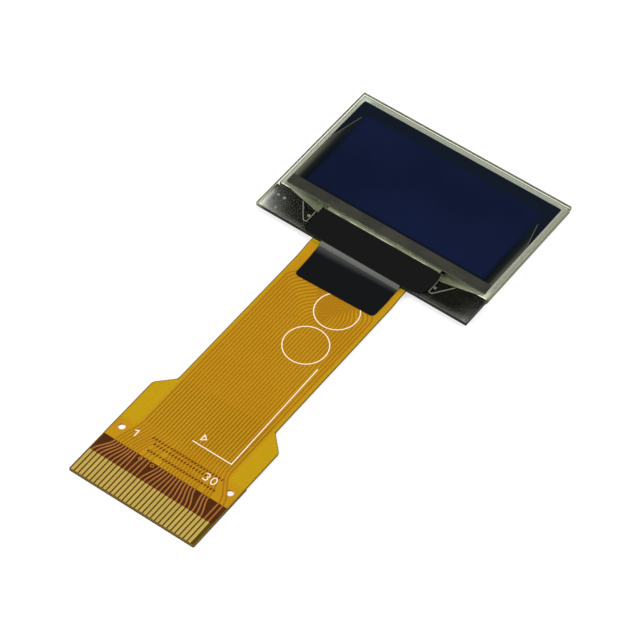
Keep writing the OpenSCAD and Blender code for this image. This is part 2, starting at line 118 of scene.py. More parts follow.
class Shader:
    """Builds one material's node tree. Coordinates are in millimetres in the object's frame."""

    def __init__(self, name, colour):
        self.mat = bpy.data.materials.new(name)
        self.mat.use_nodes = True
        self.mat.diffuse_color = (*colour[:3], 1)
        self.tree = self.mat.node_tree
        self.bsdf = self.tree.nodes["Principled BSDF"]
        self.output = self.tree.nodes["Material Output"]
        self.bsdf.inputs["Base Color"].default_value = (*colour[:3], 1)
        coord = self.node("ShaderNodeTexCoord")
        scale = self.node("ShaderNodeVectorMath", operation="SCALE")
        scale.inputs["Scale"].default_value = 1 / MM
        self.link(coord.outputs["Object"], scale.inputs[0])
        self.place = scale.outputs[0]
        split = self.node("ShaderNodeSeparateXYZ")
        self.link(self.place, split.inputs[0])
        self.x, self.y, self.z = split.outputs

    def node(self, kind, **settings):
        """Adds a node with these settings."""
        made = self.tree.nodes.new(kind)
        for key, value in settings.items():
            setattr(made, key, value)
        return made

    def link(self, source, target):
        """Links an output to an input."""
        self.tree.links.new(source, target)

    def feed(self, socket, value):
        """Links a socket, or sets a plain number or colour."""
        if isinstance(value, bpy.types.NodeSocket):
            self.link(value, socket)
        elif isinstance(value, (tuple, list)) and len(value) == 3 and socket.type == "RGBA":
            socket.default_value = (*value, 1)
        else:
            socket.default_value = value

    def set(self, **inputs):
        """Sets the Principled shader's inputs; underscores stand for spaces."""
        for key, value in inputs.items():
            self.feed(self.bsdf.inputs[key.replace("_", " ")], value)

    def math(self, operation, a, b=0.0, c=0.0, clamp=False):
        """Result of a Math node."""
        made = self.node("ShaderNodeMath", operation=operation, use_clamp=clamp)
        for socket, value in zip(made.inputs, (a, b, c)):
            self.feed(socket, value)
        return made.outputs[0]

    def mix(self, factor, a, b):
        """Colour a where factor is 0, and b where it is 1."""
        made = self.node("ShaderNodeMix", data_type="RGBA")
        self.feed(made.inputs[0], factor)
        self.feed(made.inputs[6], a)
        self.feed(made.inputs[7], b)
        return made.outputs[2]

    def ramp(self, value, low, high):
        """0 at low and 1 at high, smooth between; low may be the larger."""
        made = self.node("ShaderNodeMapRange", interpolation_type="SMOOTHSTEP")
        for socket, number in zip(made.inputs, (value, low, high)):
            self.feed(socket, number)
        return made.outputs[0]

    def fade(self, top, a, a_rate, b, b_rate):
        """Falls off from top as a and b grow, at a rate for each."""
        both = self.math("MULTIPLY_ADD", a, -a_rate, self.math("MULTIPLY", b, -b_rate))
        return self.math("MULTIPLY", self.math("EXPONENT", both), top)

    def inside(self, value, low, high, soft):
        """1 between low and high, with soft edges."""
        return self.math("MULTIPLY", self.ramp(value, low - soft, low + soft),
                         self.ramp(value, high + soft, high - soft))

    def noise(self, scale, detail=3.0, stretch=(1, 1, 1), rough=0.5):
        """Noise with this many cycles per millimetre."""
        bend = self.node("ShaderNodeMapping")
        self.link(self.place, bend.inputs["Vector"])
        bend.inputs["Scale"].default_value = stretch
        made = self.node("ShaderNodeTexNoise")
        self.link(bend.outputs[0], made.inputs["Vector"])
        made.inputs["Scale"].default_value = scale
        made.inputs["Detail"].default_value = detail
        made.inputs["Roughness"].default_value = rough
        return made.outputs["Fac"]

    def wave(self, value, pitch):
        """Soft stripes from 0 to 1 along value, one for each pitch."""
        turn = self.math("MULTIPLY", value, 2 * math.pi / pitch)
        return self.math("MULTIPLY_ADD", self.math("SINE", turn), 0.5, 0.5)

    def side(self):
        """1 on walls, and 0 on faces that look up or down."""
        flat, steep = 0.97, 0.85
        normal = self.node("ShaderNodeNewGeometry").outputs["Normal"]
        split = self.node("ShaderNodeSeparateXYZ")
        self.link(normal, split.inputs[0])
        return self.ramp(self.math("ABSOLUTE", split.outputs[2]), flat, steep)

    def bump(self, height, strength, distance):
        """Relief; distance is in millimetres."""
        made = self.node("ShaderNodeBump")
        made.inputs["Strength"].default_value = strength
        made.inputs["Distance"].default_value = distance * MM
        self.link(height, made.inputs["Height"])
        self.link(made.outputs[0], self.bsdf.inputs["Normal"])

    def clear_to_lamps(self, tint):
        """Lets lamps shine through, as they do through thin clear glass."""
        path = self.node("ShaderNodeLightPath")
        through = self.node("ShaderNodeBsdfTransparent")
        through.inputs["Color"].default_value = (*tint, 1)
        blend = self.node("ShaderNodeMixShader")
        self.link(path.outputs["Is Shadow Ray"], blend.inputs[0])
        self.link(self.bsdf.outputs[0], blend.inputs[1])
        self.link(through.outputs[0], blend.inputs[2])
        self.link(blend.outputs[0], self.output.inputs["Surface"])


def srgb(*levels):
    """Linear colour from display levels out of 255, by the sRGB curve."""
    shares = [v / 255 for v in levels]
    return tuple(s / 12.92 if s <= 0.04045 else ((s + 0.055) / 1.055) ** 2.4 for s in shares)


# ---- materials ----

HOLE_AMBER = srgb(204, 150, 48)


def glass(name, tint, edge, clear):
    """Clear glass with dim reflections; its ground walls let through only the share clear.

    The ledge's walls are dark with resin, and the rim outside the sealant ring is a little grey.
    """
    s = Shader(name, tint)
    wall = s.side()
    grind = s.noise(2.5, 3, (1, 1, 3))
    blend = 0.05
    on_ledge = s.ramp(s.y, LEDGE_END + 2 * blend, LEDGE_END - 2 * blend)
    backed = s.math("MULTIPLY", on_ledge, s.ramp(s.x, GLASS_LOW.x, GLASS_LOW.x + 1.2))
    ground = s.mix(backed, edge, srgb(40, 41, 32))
    off_side = s.ramp(s.math("ABSOLUTE", s.x), RING_X - blend, RING_X)
    overhang = s.math("MAXIMUM", off_side, s.ramp(s.y, RING_Y - blend, RING_Y))
    face = s.mix(overhang, tint, srgb(214, 215, 200))
    s.set(Base_Color=s.mix(wall, face, ground), IOR=1.22, Specular_Tint=(0.04, 0.04, 0.04, 1))
    s.set(Transmission_Weight=s.math("MULTIPLY_ADD", wall, clear - 1, 1.0))
    s.set(Roughness=s.math("MULTIPLY", wall, s.math("MULTIPLY_ADD", grind, 0.2, 0.2)))
    s.set(Specular_IOR_Level=0.1)
    s.clear_to_lamps((0.97, 0.98, 0.97))
    return s.mat


def polarizer():
    """Dark film; the pixels and the leads on the glass below show through it faintly."""
    s = Shader("polarizer_film_dark", srgb(15, 22, 50))
    # the lit area's middle and edges, set in from the film's own
    shift, side_inset, front_inset, far_inset = 0.12, 1.07, 1.32, 1.66
    middle = (POL_LOW.x + POL_HIGH.x) / 2 + shift
    half = (POL_HIGH.x - POL_LOW.x) / 2 - side_inset
    low = POL_LOW.y + front_inset
    high = POL_HIGH.y - far_inset
    across = s.math("ABSOLUTE", s.math("SUBTRACT", s.x, middle))
    cloud = s.noise(0.1, 3, rough=0.4)
    navy = s.mix(s.ramp(cloud, 0.35, 0.65), srgb(13, 20, 43), srgb(15, 23, 49))
    teal = s.mix(s.ramp(s.y, low + 3, high), srgb(10, 15, 18), srgb(15, 22, 33))
    lit = s.math("MULTIPLY", s.ramp(s.y, low - 0.05, low + 0.5),
                 s.ramp(s.y, high + 0.45, high - 0.35))
    lit = s.math("MULTIPLY", s.ramp(across, half, half - 0.75), lit)
    shown = s.mix(lit, teal, navy)
    # leads: a front band, and a band up each side that ends in a slanting tip
    slant = 0.25
    tip = s.math("MULTIPLY_ADD", s.math("SUBTRACT", high - 0.6, s.y), slant, half)
    outer = s.math("SUBTRACT", tip, s.math("ABSOLUTE", s.math("SUBTRACT", s.x, middle - 0.15)))
    side = s.math("MULTIPLY", s.ramp(across, half - 0.02, half + 0.1), s.ramp(outer, -0.03, 0.03))
    side = s.math("MULTIPLY", side, s.ramp(s.y, high - 0.3, high - 0.6))
    bright = s.ramp(across, half + 0.25, half + 1.15)
    grey = s.mix(bright, srgb(20, 23, 24), srgb(86, 87, 74))
    grey = s.mix(s.math("MULTIPLY", s.ramp(s.y, low + 1, high), 0.7), grey, srgb(20, 23, 26))
    glint = s.math("MULTIPLY", s.inside(outer, -0.02, 0.09, 0.03), s.ramp(s.y, low + 4.5, low + 8))
    grey = s.mix(s.math("MULTIPLY", glint, 0.8), grey, srgb(84, 88, 84))
    shown = s.mix(side, shown, grey)
    front = s.ramp(s.y, low + 0.03, low - 0.05)
    olive = s.mix(s.ramp(s.noise(0.5, 3), 0.3, 0.7), srgb(50, 50, 45), srgb(60, 60, 53))
    lead_pitch, lead_depth = 0.12, 0.12
    olive = s.mix(s.math("MULTIPLY", s.wave(s.x, lead_pitch), lead_depth), olive, srgb(36, 38, 34))
    shown = s.mix(front, shown, olive)
    # the film's cut edge: painted shade makes its front wall darker than the other walls, with a painted
    # highlight along it above the tape
    cut = s.mix(s.ramp(s.y, POL_LOW.y + 0.1, POL_LOW.y + 0.3), srgb(86, 89, 72), srgb(196, 197, 184))
    # painted highlight along the front wall, over the tape's width
    painted_edge_highlight = s.math("MULTIPLY", s.inside(s.x, -5.2, 5.7, 0.3), s.ramp(s.noise(0.8, 2), 0.4, 0.7))
    cut = s.mix(painted_edge_highlight, cut, srgb(136, 138, 120))
    s.set(Base_Color=s.mix(s.side(), shown, cut), Roughness=0.3, IOR=1.46)
    s.set(Specular_IOR_Level=0.01)
    s.bump(s.noise(5, 3), 0.04, 0.01)
    return s.mat


def lead_film():
    """Etched metal lines on the glass, paler towards the panel's corners."""
    s = Shader("lead_lines", srgb(135, 139, 108))
    lead_pitch = 0.2
    pale_from, pale_to = 8.5, 12.3
    lines = s.wave(s.x, lead_pitch)
    pale = s.ramp(s.math("ABSOLUTE", s.x), pale_from, pale_to)
    olive = s.mix(s.noise(1.2, 3), srgb(122, 127, 100), srgb(140, 145, 116))
    colour = s.mix(pale, olive, srgb(206, 207, 186))
    colour = s.mix(s.math("MULTIPLY", lines, 0.2), colour, srgb(96, 100, 80))
    s.set(Base_Color=colour, Roughness=0.5, Specular_IOR_Level=0.2)
    return s.mat


def bright_film():
    """Dull metal film of the ledge marks."""
    s = Shader("mark_metal", srgb(160, 161, 148))
    colour = s.mix(s.noise(6, 3), srgb(136, 138, 124), srgb(172, 173, 160))
    s.set(Base_Color=colour, Roughness=0.5, Specular_IOR_Level=0.2)
    return s.mat


def resin():
    """Dark resin under the ledge, with painted light towards its edges: it is painted pale there like the
    lit floor seen through clear glass, and the fall-off inwards is painted shade.

    The painted light is strongest in the left corner, weaker in the right one, and faint along the front.
    """
    s = Shader("ledge_resin_with_painted_light", srgb(20, 22, 15))
    from_left = s.math("SUBTRACT", s.x, GLASS_LOW.x)
    from_right = s.math("SUBTRACT", GLASS_HIGH.x, s.x)
    up = s.math("SUBTRACT", s.y, EDGE_Y)
    cloud = s.math("MULTIPLY_ADD", s.noise(0.7, 2), 0.3, -0.15)
    # painted light: pale near the left and right corners and along the front edge, fading inwards as
    # painted shade
    corner = s.fade(0.75, s.math("ADD", from_left, cloud), 0.85, up, 0.75)
    other = s.fade(0.3, s.math("ADD", from_right, cloud), 1.4, up, 0.9)
    strip = s.math("MULTIPLY", s.ramp(from_left, 0.8, 0.2), s.ramp(up, 3.4, 2.0))
    front = s.ramp(up, 1.1, 0.0)
    left = s.math("MULTIPLY_ADD", strip, 0.25, corner)
    right = s.math("MULTIPLY_ADD", front, 0.06, other)
    pale = s.math("ADD", left, right)
    dark = s.mix(s.noise(1.2, 3), srgb(6, 7, 4), srgb(12, 13, 8))
    s.set(Base_Color=s.mix(pale, dark, srgb(222, 223, 216)), Roughness=0.4, Specular_IOR_Level=0.0)
    s.bump(s.noise(1.5, 2), 0.1, 0.01)
    return s.mat


def tail_rim(s):
    """1 in a thin line along the tail's outline."""
    line = 0.11
    outer, inner = line * 0.6, line * 1.5
    x = s.math("SUBTRACT", s.x, TAIL_X)
    left = s.math("LESS_THAN", x, 0.0)
    start = s.math("MULTIPLY_ADD", left, -SHOULDER_DROP, SHOULDER_Y)
    share = s.math("DIVIDE", s.math("SUBTRACT", start, s.y), SHOULDER_RUN, clamp=True)
    half = s.math("MULTIPLY_ADD", share, SHOULDER_RUN, TAIL_HALF)
    gap = s.math("SUBTRACT", half, s.math("ABSOLUTE", x))
    rim = s.ramp(gap, inner, outer)
    return s.math("MAXIMUM", rim, s.ramp(s.y, TAIL_END + inner, TAIL_END + outer))


def near_holes(s):
    """1 at the tail's two holes and close round them."""
    full, gone = 0.4, 0.56
    near = 0.0
    for place in HOLES:
        away = s.node("ShaderNodeVectorMath", operation="DISTANCE")
        flat = s.node("ShaderNodeCombineXYZ")
        s.link(s.x, flat.inputs[0])
        s.link(s.y, flat.inputs[1])
        s.link(flat.outputs[0], away.inputs[0])
        away.inputs[1].default_value = (place[0], place[1], 0)
        near = s.math("MAXIMUM", near, s.ramp(away.outputs["Value"], gone, full))
    return near


def past_cover(s):
    """0 under the cover film, and 1 past its end, where the tail is bare."""
    blend = 0.04
    return s.ramp(s.y, COVER_END + blend, COVER_END - blend)


def film(name, light, dark, rim, gloss, alpha=1.0):
    """Amber film with faint flow marks, darker cut edges, and yellow shoulders that hold no lanes."""
    s = Shader(name, light)
    colour = s.mix(s.ramp(s.noise(0.15, 2), 0.3, 0.7), dark, light)
    out = s.math("ABSOLUTE", s.math("SUBTRACT", s.x, TAIL_X))
    empty = s.math("MULTIPLY", s.ramp(out, TAIL_HALF - 0.5, TAIL_HALF),
                   s.ramp(s.y, HOLE_Y + 0.5, HOLE_Y + 1.5))
    colour = s.mix(empty, colour, srgb(200, 158, 24))
    edge = s.math("MAXIMUM", s.side(), tail_rim(s))
    shown = s.mix(near_holes(s), s.mix(edge, colour, rim), HOLE_AMBER)
    s.set(Base_Color=shown, Roughness=gloss, IOR=1.6, Alpha=alpha)
    s.set(Specular_IOR_Level=0.02)
    s.bump(s.noise(0.8, 3, (1, 0.4, 1)), 0.06, 0.02)
    return s.mat


def base_film():
    """Amber where the cover film lies on it, and dark brown where it is bare."""
    s = Shader("base_film_amber", srgb(206, 168, 30))
    bare = past_cover(s)
    cloud = s.noise(0.6, 3)
    amber = s.mix(cloud, srgb(202, 176, 10), srgb(210, 186, 14))
    brown = s.mix(cloud, srgb(60, 30, 10), srgb(78, 42, 18))
    olive = s.mix(cloud, srgb(66, 52, 8), srgb(82, 66, 12))
    pads = s.ramp(s.y, CONTACT_HIGH.y + 0.05, CONTACT_HIGH.y - 0.05)
    top = s.mix(bare, amber, s.mix(pads, brown, olive))
    edge = s.math("MAXIMUM", s.side(), tail_rim(s))
    shown = s.mix(near_holes(s), s.mix(edge, top, srgb(104, 84, 34)), HOLE_AMBER)
    s.set(Base_Color=shown, Roughness=0.4, Specular_IOR_Level=0.02)
    s.bump(s.noise(3, 4), 0.08, 0.01)
    return s.mat


def copper():
    """Copper lanes: orange under the cover film, paler and duller where bare."""
    s = Shader("copper_lane", srgb(172, 108, 18))
    bare = past_cover(s)
    cloud = s.noise(0.9, 3, (1, 0.4, 1))
    covered = s.mix(cloud, srgb(162, 95, 14), srgb(170, 104, 20))
    open_air = s.mix(cloud, srgb(136, 84, 38), srgb(166, 108, 56))
    s.set(Base_Color=s.mix(bare, covered, open_air), Metallic=0.1, Roughness=0.42)
    s.set(Specular_IOR_Level=0.05)
    s.bump(s.noise(7, 4), 0.06, 0.003)
    return s.mat


def gilding():
    """Satin gilded contacts, with fine wiping marks along them."""
    s = Shader("contact_gilding", srgb(206, 178, 96))
    wipe = s.noise(5, 4, (1, 0.08, 1))
    colour = s.mix(wipe, srgb(160, 134, 60), srgb(196, 168, 88))
    s.set(Base_Color=s.mix(s.side(), colour, srgb(110, 88, 30)), Metallic=0.3, Roughness=0.36)
    s.set(Specular_IOR_Level=0.1)
    s.bump(wipe, 0.25, 0.005)
    return s.mat


def tape():
    """Black satin film with painted light: a grey painted highlight, streaked and brighter on the left,
    runs along the bend over the glass edge, and a fainter painted highlight below it fades out down the
    tongue.
    """
    s = Shader("tape_black", srgb(22, 22, 23))
    drop = s.math("SUBTRACT", EDGE_Y, s.y)
    across = s.ramp(s.x, TAPE_HIGH.x, TAPE_LOW.x)
    # streaks in the painted highlight, brighter towards the left
    highlight_streak = s.math("MULTIPLY_ADD", s.noise(0.9, 3, (0.35, 1, 1)), 0.3, 0.68)
    highlight_streak = s.math("MULTIPLY", s.math("MULTIPLY_ADD", across, 0.3, 0.8), highlight_streak)
    fade = s.math("MULTIPLY_ADD", s.ramp(drop, FOLD_RUN, 0.12), 0.3, 0.7)
    # painted highlight: a grey band along the bend over the glass edge
    fold_highlight = s.math("MULTIPLY", s.ramp(drop, 0.06, 0.14),
                  s.ramp(drop, FOLD_RUN + 0.05, FOLD_RUN - 0.05))
    fold_highlight = s.math("MULTIPLY", fold_highlight, fade)
    # a fainter painted highlight below the bend, fading out down the tongue and reaching further on the
    # left
    reach = s.math("MULTIPLY_ADD", across, 0.6, 1.0)
    under = s.math("MULTIPLY", s.ramp(drop, FOLD_RUN - 0.1, FOLD_RUN), s.ramp(drop, reach, 0.3))
    under = s.math("MULTIPLY", under, s.math("MULTIPLY_ADD", across, 0.4, 0.6))
    tongue = s.ramp(drop, 0.2, 1.2)
    dark = s.mix(tongue, srgb(18, 18, 18), srgb(15, 16, 17))
    colour = s.mix(s.math("MULTIPLY", under, 0.85), dark, srgb(72, 73, 74))
    colour = s.mix(s.math("MULTIPLY", fold_highlight, highlight_streak, clamp=True), colour, srgb(116, 116, 113))
    grain = s.noise(12, 3)
    s.set(Base_Color=colour, Specular_IOR_Level=0.02)
    s.set(Roughness=s.math("MULTIPLY_ADD", grain, 0.2, 0.4))
    s.bump(grain, 0.08, 0.01)
    return s.mat


def plain(name, light, dark, roughness, scale=2.0, metallic=0.0, specular=0.4):
    """A surface with mild mottling."""
    s = Shader(name, light)
    cloud = s.noise(scale, 4)
    s.set(Base_Color=s.mix(cloud, dark, light), Roughness=roughness, Metallic=metallic)
    s.set(Specular_IOR_Level=specular)
    s.bump(cloud, 0.15, 0.01)
    return s.mat


# ---- mesh helpers ----

def build(name, bm, material):
    """Turns a bmesh in millimetres into an object in the frame."""
    mesh = bpy.data.meshes.new(name)
    bmesh.ops.recalc_face_normals(bm, faces=bm.faces)
    bm.transform(Matrix.Scale(MM, 4))
    bm.to_mesh(mesh)
    bm.free()
    mesh.materials.append(material)
    made = bpy.data.objects.new(name, mesh)
    bpy.context.collection.objects.link(made)
    return made


def bevel(obj, width, angle=40):
    """Rounds the sharp edges; width is in millimetres."""
    made = obj.modifiers.new("edge", "BEVEL")
    made.width = width * MM
    made.segments = 2
    made.limit_method = "ANGLE"
    made.angle_limit = math.radians(angle)
    return obj


def arc(centre, radius, start, end, steps):
    """Points along an arc; angles are in degrees."""
    turns = [math.radians(start + (end - start) * k / steps) for k in range(steps + 1)]
    return [(centre[0] + radius * math.cos(t), centre[1] + radius * math.sin(t)) for t in turns]


def rounded_rect(low, high, radius, steps=6):
    """Outline of a rectangle with round corners."""
    left, right = low[0] + radius, high[0] - radius
    front, far = low[1] + radius, high[1] - radius
    points = []
    for cx, cy, start in ((right, front, -90), (right, far, 0), (left, far, 90), (left, front, 180)):
        points += arc((cx, cy), radius, start, start + 90, steps)
    return points


def slab(name, outline, low, high, material, edge):
    """A flat piece with the given outline and eased edges."""
    bm = bmesh.new()
    verts = [bm.verts.new((x, y, low)) for x, y in outline]
    face = bm.faces.new(verts)
    grown = bmesh.ops.extrude_face_region(bm, geom=[face])
    up = [v for v in grown["geom"] if isinstance(v, bmesh.types.BMVert)]
    bmesh.ops.translate(bm, verts=up, vec=(0, 0, high - low))
    return bevel(build(name, bm, material), edge)


def box_mesh(bm, low, high):
    """Adds a box to a bmesh, from its low and high corners."""
    corners = [(x, y, z) for z in (low[2], high[2]) for x, y in
               ((low[0], low[1]), (high[0], low[1]), (high[0], high[1]), (low[0], high[1]))]
    verts = [bm.verts.new(c) for c in corners]
    for ring in ((0, 1, 2, 3), (4, 5, 6, 7), (0, 1, 5, 4), (1, 2, 6, 5), (2, 3, 7, 6), (3, 0, 4, 7)):
        bm.faces.new([verts[i] for i in ring])


def ribbon(points, width, closed=False):
    """Outlines of a flat stroke of this width: its left and right sides.

    Corners are mitred, and a sharp one is cut off at a share of its reach.
    """
    sharpest = 0.35
    n = len(points)
    left, right = [], []
    for i, here in enumerate(points):
        before = points[(i - 1) % n] if closed or i else here
        after = points[(i + 1) % n] if closed or i < n - 1 else here
        a = Vector(here) - Vector(before)
        b = Vector(after) - Vector(here)
        a = a.normalized() if a.length else b.normalized()
        b = b.normalized() if b.length else a
        mean = (a + b).normalized()
        out = Vector((-mean.y, mean.x)) * (width / 2 / max(sharpest, mean.dot(a)))
        left.append(Vector(here) + out)
        right.append(Vector(here) - out)
    return left, right


def strokes(name, paths, width, surface, material, lift=0.004, thick=0.006):
    """Flat strokes that lie on a surface; paths are (points, closed) in plan."""
    bm = bmesh.new()
    for points, closed in paths:
        left, right = ribbon(points, width, closed)
        count = len(points)
        rows = []
        for a, b in zip(left, right):
            za, zb = surface(a.x, a.y) + lift, surface(b.x, b.y) + lift
            rows.append([bm.verts.new((a.x, a.y, za)), bm.verts.new((b.x, b.y, zb)),
                         bm.verts.new((b.x, b.y, zb + thick)), bm.verts.new((a.x, a.y, za + thick))])
        last = count if closed else count - 1
        for i in range(last):
            here, after = rows[i], rows[(i + 1) % count]
            for k in range(4):
                bm.faces.new((here[k], here[(k + 1) % 4], after[(k + 1) % 4], after[k]))
        if not closed:
            bm.faces.new(rows[0])
            bm.faces.new(rows[-1][::-1])
    return build(name, bm, material)


def height_over(node):
    """Function that gives the height of a CAD node's upper surface at a place."""
    bm = bmesh.new()
    bm.from_mesh(frame["nodes"][node].data)
    tree = BVHTree.FromBMesh(bm)
    bm.free()

    above = 10

    def height(x, y, fallback):
        hit = tree.ray_cast(Vector((x, y, above)) * MM, Vector((0, 0, -1)))[0]
        return hit.z / MM if hit else fallback
    return height


# ---- panel ----

def dress_panel():
    """Front glass and polarizer with eased edges and corners, in place of the plain CAD ones."""
    clear = glass("front_glass_clear", (0.97, 0.985, 0.97), srgb(136, 138, 112), 0.06)
    front = slab("front_glass_plate", rounded_rect(GLASS_LOW, GLASS_HIGH, 0.06, 2),
                 GLASS_LOW.z, GLASS_HIGH.z, clear, 0.025)
    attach(front, "root")
    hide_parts("front_glass")
    film_piece = slab("polarizer_sheet", rounded_rect(POL_LOW, POL_HIGH, 0.25),
                      POL_LOW.z, POL_HIGH.z, polarizer(), 0.03)
    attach(film_piece, "root")
    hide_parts("polarizer_film")


def bead_and_painted_highlight():
    """Pale cured edge of the resin, whiter towards the corners, with a painted highlight as a thin bright
    line along the tape's upper edge.
    """
    s = Shader("resin_bead_pale", srgb(150, 152, 126))
    out = s.math("ABSOLUTE", s.x)
    cloud = s.noise(1.5, 3, (0.4, 1, 1))
    olive = s.mix(cloud, srgb(98, 102, 78), srgb(124, 128, 102))
    colour = s.mix(s.ramp(out, 8.0, 11.6), olive, srgb(214, 214, 200))
    # painted highlight: a thin bright line along the tape's upper edge, over the middle only
    line = s.inside(s.math("SUBTRACT", s.y, TAPE_HIGH.y), 0.0, 0.1, 0.04)
    bright = s.math("MULTIPLY", line, s.ramp(out, 6.2, 5.4))
    colour = s.mix(s.math("MULTIPLY", bright, s.ramp(cloud, 0.3, 0.7)), colour, srgb(196, 196, 176))
    s.set(Base_Color=colour, Roughness=0.5, Specular_IOR_Level=0.05)
    s.bump(cloud, 0.1, 0.01)
    return s.mat


def dress_bead():
    """The resin's pale edge lies along the back glass; a thin strip on top of the glass between the tape
    and the film is painted light, the bead's lit colour laid where the tape's shadow falls, with the
    painted highlight line.
    """
    outside, inside = 0.36, 0.1
    inset, overlap, clear = 0.4, 0.15, 0.01
    low, high = GLASS_HIGH.z + 0.001, GLASS_HIGH.z + 0.008
    bm = bmesh.new()
    box_mesh(bm, (RESIN_LOW.x, LEDGE_END - outside, BEAD_Z[0]),
             (RESIN_HIGH.x, LEDGE_END + inside, BEAD_Z[1]))
    # painted light: a strip on the glass that shows the lit bead colour where the tape's shadow falls
    box_mesh(bm, (TAPE_LOW.x + inset, TAPE_HIGH.y - overlap, low),
             (TAPE_HIGH.x - inset, POL_LOW.y - clear, high))
    piece = build("resin_bead_and_painted_light_strip", bm, bead_and_painted_highlight())
    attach(piece, "root")


def dress_wash(material):
    """Thin wash of resin that reaches the ledge's edges on each side of the tail."""
    inset, gap, stop = 0.03, 0.15, 0.3
    bm = bmesh.new()
    for x0, x1 in ((GLASS_LOW.x + inset, BOND_LOW.x - gap), (BOND_HIGH.x + gap, GLASS_HIGH.x - inset)):
        box_mesh(bm, (x0, GLASS_LOW.y + inset, WASH_Z[0]), (x1, LEDGE_END - stop, WASH_Z[1]))
    piece = build("ledge_resin_wash", bm, material)
    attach(piece, "root")


def dress_node(node, material):
    """Gives a CAD node its material."""
    obj = frame["nodes"][node]
    for slot in obj.material_slots:
        slot.material = material


# ---- tape ----

def ease(t):
    """Smooth step from 0 to 1."""
    t = min(1, max(0, t))
    return t * t * (3 - 2 * t)


def tape_outline():
    """T shape in plan, a little askew at its upper edge and at the tongue's end."""
    left, right = TAPE_LOW.x, TAPE_HIGH.x
    top, foot = TAPE_HIGH.y, TAPE_LOW.y
    tongue, narrowing, shift = 5.0, 0.1, 0.15
    middle = (left + right) / 2 - shift
    skew, foot_skew = 0.1, 0.25
    far_right, near_right, foot_round, near_left, far_left = 0.7, 1.4, 0.5, 0.4, 0.45
    foot_x = tongue - narrowing - foot_round
    points = arc((right - far_right, top - far_right), far_right, 90, 0, 6)
    points += arc((right - near_right, EDGE_Y + near_right), near_right, 0, -90, 10)
    points += [(middle + tongue, EDGE_Y)]
    points += arc((middle + foot_x, foot + foot_skew + foot_round), foot_round, 0, -90, 6)
    points += arc((middle - foot_x, foot + foot_round), foot_round, -90, -180, 6)
    points += [(middle - tongue, EDGE_Y)]
    points += arc((left + near_left, EDGE_Y + near_left), near_left, -90, -180, 5)
    points += arc((left + far_left, top - skew - far_left), far_left, 180, 90, 6)
    return points


def dress_tape():
    """T-shaped tape; its tongue comes down from the glass and follows the tail."""
    thick = TAPE_HIGH.z - GLASS_HIGH.z
    lift = 0.001
    tail_height = height_over("top_cover_film")

    def surface(y):
        """Height of what the tape lies on, at this place along the tail."""
        down = EDGE_Y - y
        if down <= 0:
            return GLASS_HIGH.z
        low = tail_height(TAIL_X, min(y, EDGE_Y - 0.25), COVER_HIGH.z)
        return low + (GLASS_HIGH.z - low) * (1 - ease(down / FOLD_RUN))

    bm = bmesh.new()
    bm.faces.new([bm.verts.new((x, y, 0)) for x, y in tape_outline()])
    # cut across, closely in the fold and more widely below it, so that the strip can bend
    cuts = [EDGE_Y + 0.03, EDGE_Y] + [EDGE_Y - FOLD_RUN * k / 10 for k in range(1, 11)]
    cuts += [EDGE_Y - FOLD_RUN - 0.2 * k for k in range(1, 22)]
    for y in cuts:
        bmesh.ops.bisect_plane(bm, geom=bm.verts[:] + bm.edges[:] + bm.faces[:], dist=1e-5,
                               plane_co=(0, y, 0), plane_no=(0, 1, 0))
    for vert in bm.verts:
        vert.co.z = surface(vert.co.y) + lift
    grown = bmesh.ops.extrude_face_region(bm, geom=bm.faces[:])
    up = [v for v in grown["geom"] if isinstance(v, bmesh.types.BMVert)]
    bmesh.ops.translate(bm, verts=up, vec=(0, 0, thick - lift))
    piece = bevel(build("shield_tape_film", bm, tape()), 0.015, 50)
    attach(piece, "root")
    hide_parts("shield_tape")


# ---- printed marks on the tail ----

def digit_paths(text, at, height, width):
    """Plain end numbers as strokes, drawn one unit high and then sized."""
    spacing = 0.94
    turns = [math.radians(a) for a in range(0, 360, 20)]
    shapes = {
        "1": [([(-0.3, 0.3), (0.1, 0.5), (0.1, -0.5)], False)],
        "3": [(arc((0, 0.24), 0.26, 150, -80, 10) + arc((0, -0.24), 0.26, 80, -150, 10), False)],
        "0": [([(0.27 * math.cos(t), 0.5 * math.sin(t)) for t in turns], True)],
    }
    paths = []
    for k, sign in enumerate(text):
        shift = (k - (len(text) - 1) / 2) * spacing
        for points, closed in shapes[sign]:
            paths.append(([(at[0] + (x + shift) * width, at[1] + y * height) for x, y in points], closed))
    return paths


def along(start, end, steps):
    """Points along a straight stroke, close enough together to follow the tail's bend."""
    return [(start[0] + (end[0] - start[0]) * k / steps, start[1] + (end[1] - start[1]) * k / steps)
            for k in range(steps + 1)]


def ride_on_cover(piece):
    """Ties a printed piece to the body."""
    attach(piece, "root")


def over_cover():
    """Function that gives the cover film's height, or its lowest one where a ray misses it."""
    cover = height_over("top_cover_film")
    return lambda x, y: cover(x, y, HEAD_TOP)


def dress_marks():
    """White rings, an angle line, an arrowhead and end numbers."""
    white = plain("legend_white", srgb(244, 226, 204), srgb(226, 204, 178), 0.5)
    surface = over_cover()

    def at(x, down):
        """A place by its x and its distance below the ledge's edge."""
        return (x, EDGE_Y - down)

    rings = [(arc(at(1.72, 11.58), 2.42, 0, 354, 59), True)]
    rings += [(arc(at(1.67, 6.17), 2.4, 0, 354, 59), True)]
    line_top, corner, line_end = at(4.53, 13.33), at(4.7, 27.88), at(-0.13, 27.88)
    lines = [(along(line_top, corner, 40) + along(corner, line_end, 10)[1:], False)]
    lines += [([at(0.46, 26.6), at(0.46, 27.32), at(0.93, 26.97)], True)]
    marks = [("printed_rings", rings, 0.12), ("printed_lines", lines, 0.12)]
    marks += [("printed_first_number", digit_paths("1", at(-5.18, 30.5), 0.83, 0.9), 0.13)]
    marks += [("printed_last_number", digit_paths("30", at(4.12, 30.53), 0.86, 0.98), 0.12)]
    for name, paths, width in marks:
        ride_on_cover(strokes(name, paths, width, surface, white))


# ---- lower copper layer that shows through the head ----

